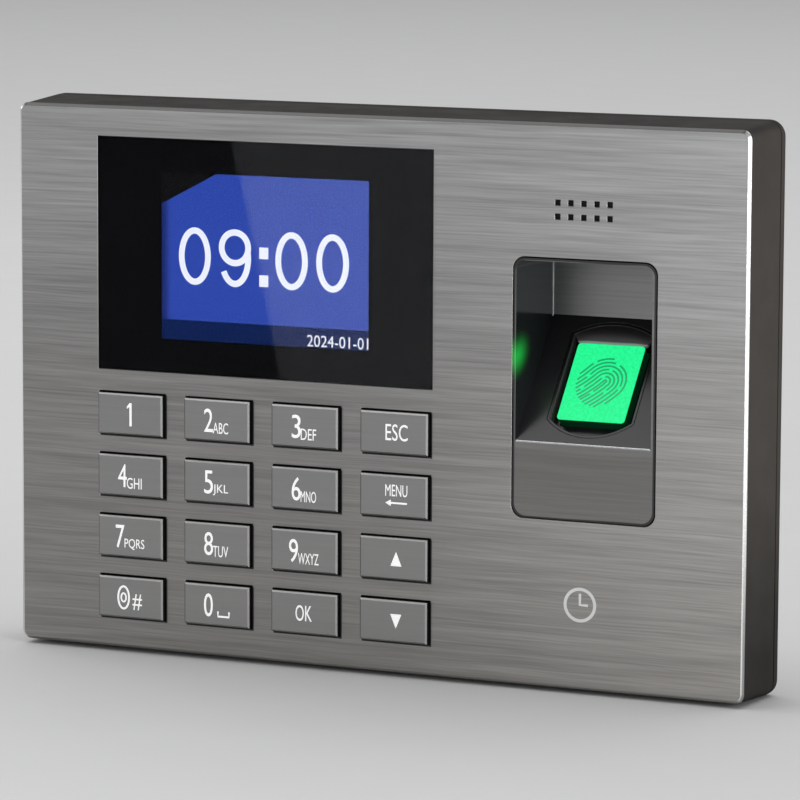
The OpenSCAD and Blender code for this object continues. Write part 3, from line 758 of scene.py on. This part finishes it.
def build_window_print():
    """The black layer printed on the back of the glass, open over the screen."""
    half_w, half_h = screen_w / 2 + 0.02 * MM, screen_h / 2 + 0.02 * MM
    thick = 0.02 * MM
    mask = front_art(screen_mid.x, window_high.y - 0.01 * MM, screen_mid.z, thick)
    full_w = (window_high.x - window_low.x) / 2 - 0.02 * MM
    full_h = (window_high.z - window_low.z) / 2 - 0.02 * MM
    band_h, band_w = full_h - half_h, full_w - half_w
    for s in (-1, 1):
        mask.box(0, s * (half_h + band_h / 2), 2 * full_w, band_h)
        mask.box(s * (half_w + band_w / 2), 0, band_w, 2 * half_h)
    mask.piece("window_print", window_ink, "clock", "black_plastic")


# ---- key legends ----

LETTERS = {"key_2": "ABC", "key_3": "DEF", "key_4": "GHI", "key_5": "JKL",
           "key_6": "MNO", "key_7": "PQRS", "key_8": "TUV", "key_9": "WXYZ"}
DIGIT_H, DIGIT_W = 5.9 * MM, 2.5 * MM
LETTER_H, LETTER_W = 2.8 * MM, 1.42 * MM
legend_finish = legend_white()


def legend(key):
    """The white print on a key's face."""
    low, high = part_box(key)
    art = front_art((low.x + high.x) / 2, low.y + 0.005 * MM, (low.z + high.z) / 2, 0.03 * MM)
    foot = -DIGIT_H / 2
    shift = 0.85 * MM
    if key == "key_1":
        stroke = 0.62 * MM
        art.box(0.25 * MM, 0, stroke, DIGIT_H)
        art.prism([(0, DIGIT_H / 2), (-0.8 * MM, DIGIT_H / 2 - 0.9 * MM),
                   (-0.8 * MM, DIGIT_H / 2 - 1.5 * MM), (0, DIGIT_H / 2 - 0.9 * MM)])
    elif key in LETTERS:
        letters = LETTERS[key]
        letters_w = len(letters) * LETTER_W
        left = -(DIGIT_W + letters_w) / 2
        art.words(key[-1], left + DIGIT_W / 2, 0, DIGIT_W, DIGIT_H)
        art.words(letters, -left - letters_w / 2, foot + LETTER_H / 2 - 0.3 * MM, letters_w,
                  LETTER_H)
    elif key == "key_0":
        art.words("0", -2.2 * MM, 0, DIGIT_W, DIGIT_H)
        bar_low, bar_high = foot + 0.2 * MM, foot + 1.5 * MM
        art.ribbon([(0.5 * MM, bar_high), (0.5 * MM, bar_low), (3.6 * MM, bar_low),
                    (3.6 * MM, bar_high)], 0.5 * MM)
    elif key == "key_hash":
        art.oval(-1.9 * MM, 0, 3.6 * MM, DIGIT_H + 0.3 * MM, 0.5 * MM)
        art.oval(-1.9 * MM, 0, 1.8 * MM, 2.6 * MM, 0.42 * MM)
        art.words("#", 2.0 * MM, foot + 2.0 * MM, 2.7 * MM, 4.1 * MM)
    elif key == "key_esc":
        art.words("ESC", shift, 0.2 * MM, 6.0 * MM, 4.1 * MM)
    elif key == "key_ok":
        art.words("OK", 0, 0, 4.5 * MM, 4.0 * MM)
    elif key == "key_menu":
        art.words("MENU", shift, 1.4 * MM, 6.0 * MM, 2.9 * MM)
        art.ribbon([(shift - 1.6 * MM, -1.7 * MM), (shift + 2.9 * MM, -1.7 * MM)], 0.45 * MM)
        art.prism([(shift - 3.0 * MM, -1.7 * MM), (shift - 1.5 * MM, -2.5 * MM),
                   (shift - 1.5 * MM, -0.9 * MM)])
    else:
        s = 1 if key == "key_up" else -1
        corners = [(shift - 1.5 * MM, -1.8 * MM * s), (shift + 1.5 * MM, -1.8 * MM * s),
                   (shift, 1.8 * MM * s)]
        art.prism(corners[::s])
    art.piece("legend_" + key[4:], legend_finish, key + "_cap", "white_plastic")


# ---- small marks ----

def build_clock_mark():
    """A plain clock face printed below the finger well."""
    mark_x, mark_z = glass_u - 0.45 * MM, plate_low.z + 21.0 * MM
    art = front_art(mark_x, front_y + 0.005 * MM, mark_z, 0.03 * MM)
    art.oval(0, 0, 8.6 * MM, 8.6 * MM, 0.8 * MM)
    art.ribbon([(0, 2.8 * MM), (0, 0), (2.1 * MM, 0)], 0.7 * MM)
    art.piece("clock_mark", plate_print, "clock", "white_plastic")


def key_front(key):
    """The corners of the part of a key that stands proud of the plate."""
    return corners([v.co for v in nodes[key].data.vertices if v.co.y < front_y - 0.1 * MM])


def build_painted_key_shadows():
    """Painted shadows: a thin black sheet to the right of each key and below it, where its shadow
    falls.
    """
    art = front_art(0, front_y + 0.005 * MM, 0, 0.04 * MM)
    # painted shadow: widths of the black strips right of and below each key
    gap, right_shadow, low_shadow = 0.34 * MM, 0.30 * MM, 0.35 * MM
    for key in KEYS:
        low, high = key_front(key)
        foot = low.z - gap
        edge = high.x + gap
        art.prism([(low.x, foot - low_shadow), (edge + right_shadow, foot - low_shadow),
                   (edge + right_shadow, high.z), (edge, high.z), (edge, foot), (low.x, foot)])
    art.piece("painted_key_shadows", black_rubber, "clock", "silicone")


def bar(name, start, end, radius, material, body):
    """A round bar with flat ends."""
    axis = end - start
    turn = axis.to_track_quat("Z", "Y").to_matrix().to_4x4()
    turn.translation = (start + end) / 2
    bm = bmesh.new()
    bmesh.ops.create_cone(bm, cap_ends=True, segments=16, radius1=radius, radius2=radius,
                          depth=axis.length, matrix=turn)
    rounded(finished(name, bm, material, body, smooth=True), radius * 0.3)


def build_well_trims():
    """A bright bead along the well's lip, and one up the left edge of its back panel."""
    metal = trim_metal()
    inward = 0.1 * MM
    corner = Vector((rear_low.x + inward, rear_low.y - inward, 0))
    bar("well_corner_trim", corner + Vector((0, 0, rear_low.z + 0.1 * MM)),
        corner + Vector((0, 0, rear_high.z - 0.1 * MM)), 0.22 * MM, metal, "clock")
    lip = Vector((0, front_y + 0.22 * MM, ramp_lip_z() - 0.12 * MM))
    bar("well_lip_trim", lip + Vector((rear_low.x + 0.1 * MM, 0, 0)),
        lip + Vector((rear_high.x - 0.1 * MM, 0, 0)), 0.3 * MM, metal, "clock")


def ramp_lip_z():
    """The height at which the ramp's surface meets the plate's front."""
    surface = max(v.co.dot(ramp_normal) for v in nodes["sensor_bezel"].data.vertices)
    return (surface - front_y * ramp_normal.y) / ramp_normal.z


def build_sensor_hood():
    """The curved hood between the pocket's upper arc and the top edge of the glass."""
    across, rows = 28, 7
    thick, swell, foot_drop, glass_proud = 1.2 * MM, 0.9 * MM, 0.05 * MM, 0.2 * MM
    # the pocket's upper arc, measured from the middle of the glass
    pocket_half, pocket_radius, pocket_mid = 10.65 * MM, 19.5 * MM, -2.9 * MM
    foot_half, foot = (glass_high.x - glass_low.x) / 2, max(face_v) - glass_v + 0.1 * MM
    bm = bmesh.new()
    front, back = [], []
    for j in range(rows + 1):
        rise = j / rows
        for i in range(across + 1):
            side = 2 * i / across - 1
            arc_u = side * pocket_half
            arc_v = pocket_mid + math.sqrt(pocket_radius ** 2 - arc_u ** 2)
            u = side * foot_half * (1 - rise) + arc_u * rise
            v = foot * (1 - rise) + arc_v * rise
            crown = swell * math.sin(math.pi * rise) * (1 - side ** 4)
            level = crown - foot_drop * (1 - rise) - glass_proud
            place = glass_face + Vector((u, 0, 0)) + ramp_up * v
            front.append(bm.verts.new(place + ramp_normal * level))
            back.append(bm.verts.new(place - ramp_normal * thick))
    wide = across + 1
    for j in range(rows):
        for i in range(across):
            a = j * wide + i
            bm.faces.new((front[a], front[a + 1], front[a + 1 + wide], front[a + wide]))
            bm.faces.new((back[a], back[a + wide], back[a + 1 + wide], back[a + 1]))
    border = [j * wide for j in range(rows, 0, -1)] + list(range(across))
    border += [j * wide + across for j in range(rows)]
    border += [rows * wide + i for i in range(across, 0, -1)]
    for a, b in zip(border, border[1:] + border[:1]):
        bm.faces.new((front[a], back[a], back[b], front[b]))
    hood = finished("sensor_hood", bm, hood_satin(foot), "clock", smooth=True)
    rounded(hood, 0.12 * MM)


def hood_satin(foot):
    """Black satin, paler toward its foot, with a painted highlight along the edge over the glass.
    """
    s = Shader("hood_satin", (0.02, 0.02, 0.022), 0.35)
    wear = s.noise((300, 300, 300), 3.0)
    s.feed("Base Color", s.mix(wear, (0.020, 0.020, 0.021), (0.030, 0.030, 0.032)))
    up = s.along(ramp_up, tuple(glass_face + ramp_up * foot))
    s.zone(s.fade(up, 0.0, 4.5 * MM), (0.075, 0.070, 0.075), 0.4)
    # painted highlight: a bright band along the edge over the glass
    s.zone(s.fade(up, 0.3 * MM, 0.7 * MM), (0.55, 0.52, 0.53), 0.35)
    return s.material


def build_keypad_mat():
    """The rubber mat: a web, and under each key a dome."""
    low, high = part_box("keypad_mat")
    web_t, travel, corner = 1.0 * MM, 1.0 * MM, 2.0 * MM
    web_y = high.y - web_t
    half_w, half_h = (high.x - low.x) / 2 - corner, (high.z - low.z) / 2 - corner
    web = front_art((low.x + high.x) / 2, high.y, (low.z + high.z) / 2, web_t)
    outline = []
    for u, v, start in ((half_w, half_h, 0), (-half_w, half_h, 90), (-half_w, -half_h, 180),
                        (half_w, -half_h, 270)):
        outline += arc(u, v, corner, corner, start, start + 90, 6)
    web.prism(outline)
    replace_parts(web.piece("keypad_web", black_rubber, "clock", "silicone"), "keypad_mat")

    tall = web_y - low.y - 0.02 * MM
    profile = [(4.2 * MM, 0), (4.0 * MM, 0.15 * tall), (3.25 * MM, 0.85 * tall), (3.0 * MM, tall)]
    sides = 32
    for key in KEYS:
        key_low, key_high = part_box(key)
        centre = Vector(((key_low.x + key_high.x) / 2, web_y, (key_low.z + key_high.z) / 2))
        bm = bmesh.new()
        rings = []
        for radius, rise in profile:
            rings.append([bm.verts.new(centre + Vector((u, -rise, v)))
                          for u, v in arc(0, 0, radius, radius, 0, 360, sides)[:-1]])
        for inner, outer in zip(rings[1:], rings):
            for i in range(sides):
                j = (i + 1) % sides
                bm.faces.new((outer[i], outer[j], inner[j], inner[i]))
        bm.faces.new(rings[0][::-1])
        bm.faces.new(rings[-1])
        dome = finished("dome_" + key[4:], bm, black_rubber, "clock")
        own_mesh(dome)


def build_fingerprint():
    """A loop print: nested hairpins that lean down to the left, cut off by an oval."""
    art = Artwork(glass_face + ramp_normal * 0.005 * MM, RIGHT, ramp_up, 0.02 * MM)
    half_w, half_h, pitch, line = 6.5 * MM, 7.1 * MM, 1.02 * MM, 0.47 * MM
    curl = 0.018 / MM
    lean = math.radians(232)
    core = Vector((0.9 * MM, 0.4 * MM))
    leg = Vector((math.cos(lean), math.sin(lean)))
    side = Vector((-leg.y, leg.x))
    step = 0.25 * MM
    for ring in range(7):
        radius = (0.35 + ring) * pitch
        count = int(12 * MM / step)
        reach = [step * (i + 1) for i in range(count)]
        path = [core - side * radius + leg * d - side * curl * d * d for d in reach[::-1]]
        bend = max(6, int(math.pi * radius / step))
        for i in range(bend + 1):
            turn = math.pi * i / bend
            path.append(core - side * radius * math.cos(turn) - leg * radius * math.sin(turn))
        path += [core + side * radius + leg * d - side * curl * d * d for d in reach]
        run = []
        for i, p in enumerate(path):
            inside = (p.x / half_w) ** 2 + (p.y / half_h) ** 2 < 1
            broken = math.sin(i * 0.11 + ring * 2.4) > 0.985
            if inside and not broken:
                run.append((p.x, p.y))
            elif run:
                if len(run) > 3:
                    art.ribbon(run, line)
                run = []
        if len(run) > 3:
            art.ribbon(run, line)
    art.piece("fingerprint_mark", glow("sensor_dark_green", (0.010, 0.36, 0.13)), "clock",
              "green_glass")


# ---- the scene ----

def make_camera():
    data = bpy.data.cameras.new("camera")
    data.lens = 210.4
    distance = 1.14978
    camera = bpy.data.objects.new("camera", data)
    scene.collection.objects.link(camera)
    azimuth, elevation, roll = (math.radians(a) for a in (24.91, 7.714, 0.263))
    back = Vector((math.sin(azimuth) * math.cos(elevation),
                   -math.cos(azimuth) * math.cos(elevation), math.sin(elevation)))
    target = Vector((7.97 * MM, front_y, -0.69 * MM))
    camera.location = target + distance * back
    camera.rotation_mode = "QUATERNION"
    camera.rotation_quaternion = (-back).to_track_quat("-Z", "Y") @ Quaternion((0, 0, 1), roll)
    scene.camera = camera


def make_floor():
    size, z = 8.0, cad_box[0].z
    mesh = bpy.data.meshes.new("floor")
    corners = [(-size, -size, z), (size, -size, z), (size, size, z), (-size, size, z)]
    mesh.from_pydata(corners, [], [(0, 1, 2, 3)])
    floor = bpy.data.objects.new("floor", mesh)
    scene.collection.objects.link(floor)
    s = Shader("floor", (0.75, 0.75, 0.74), 0.8)
    s.feed("Base Color", s.mix(s.noise((30, 30, 30), 3.0), (0.74, 0.74, 0.73), (0.77, 0.77, 0.76)))
    mesh.materials.append(s.material)


def softbox(name, place, target, width, height, radiance, tilt=0.0):
    """A rectangular light aimed at a point. radiance is what a mirror would show of it."""
    data = bpy.data.lights.new(name, "AREA")
    data.shape = "RECTANGLE"
    data.size, data.size_y = width, height
    data.energy = radiance * math.pi * width * height
    light = bpy.data.objects.new(name, data)
    scene.collection.objects.link(light)
    light.location = place
    light.rotation_mode = "QUATERNION"
    aim = (Vector(target) - Vector(place)).to_track_quat("-Z", "Y")
    light.rotation_quaternion = aim @ Quaternion((0, 0, 1), tilt)
    light.visible_camera = False
    return light


def mirrored(x, z, depth):
    """Where the camera's line to a point on the glass, thrown back by it, reaches a depth."""
    ray = Vector((x, window_low.y, z)) - scene.camera.location
    reach = (window_low.y - depth) / ray.y
    return Vector((x + ray.x * reach, depth, z + ray.z * reach))


def build_glare_card():
    """A small softbox that lights only the window and the picture behind it. The window
    mirrors it, and its slanting edge crosses the screen."""
    depth = -290 * MM
    top = mirrored(window_mid.x - 8.9 * MM, window_high.z, depth)
    foot = mirrored(window_mid.x + 5.0 * MM, window_low.z, depth)
    up = (top - foot).normalized()
    right = Vector((up.z, 0, -up.x))
    width, height = 90 * MM, 120 * MM
    place = (top + foot) / 2 + right * width / 2
    slant = math.atan2(-up.x, up.z)
    card = softbox("glare_card", place, place + Vector((0, 1, 0)), width, height, 2.6, slant)
    seen = bpy.data.collections.new("glare_card_lights")
    seen.objects.link(nodes["display_window"])
    seen.objects.link(scene.objects["screen_picture"])
    card.light_linking.receiver_collection = seen


def make_light():
    world = bpy.data.worlds.new("studio")
    world.use_nodes = True
    world.node_tree.nodes["Background"].inputs["Color"].default_value = (0.80, 0.81, 0.83, 1)
    world.node_tree.nodes["Background"].inputs["Strength"].default_value = 0.42
    scene.world = world
    scene.view_settings.view_transform = "Standard"
    softbox("top_box", (-0.75, -0.45, 1.7), (0, 0, 0), 1.3, 1.0, 1.6)
    softbox("back_box", (0, 1.4, 3.0), (0, 1.2, 0), 5.0, 3.5, 1.0)
    softbox("front_box", (-0.24, -1.68, 0.34), (0, 0, 0), 0.36, 0.5, 3.6)
    softbox("left_box", (-1.25, -1.15, 0.35), (0, 0, 0), 0.6, 0.5, 1.0)
    softbox("right_strip", (1.3, -0.62, 0.2), (0.1, 0, 0), 0.5, 0.9, 4.0)
    softbox("left_strip", (-1.2, 0.55, 0.45), (-0.1, 0, 0), 0.3, 0.6, 1.6)
    build_glare_card()


build_screen()
build_window_print()
for key in KEYS:
    legend(key)
build_painted_key_shadows()
build_well_trims()
build_keypad_mat()
build_sensor_hood()
build_clock_mark()
build_fingerprint()
make_camera()
make_floor()
make_light()
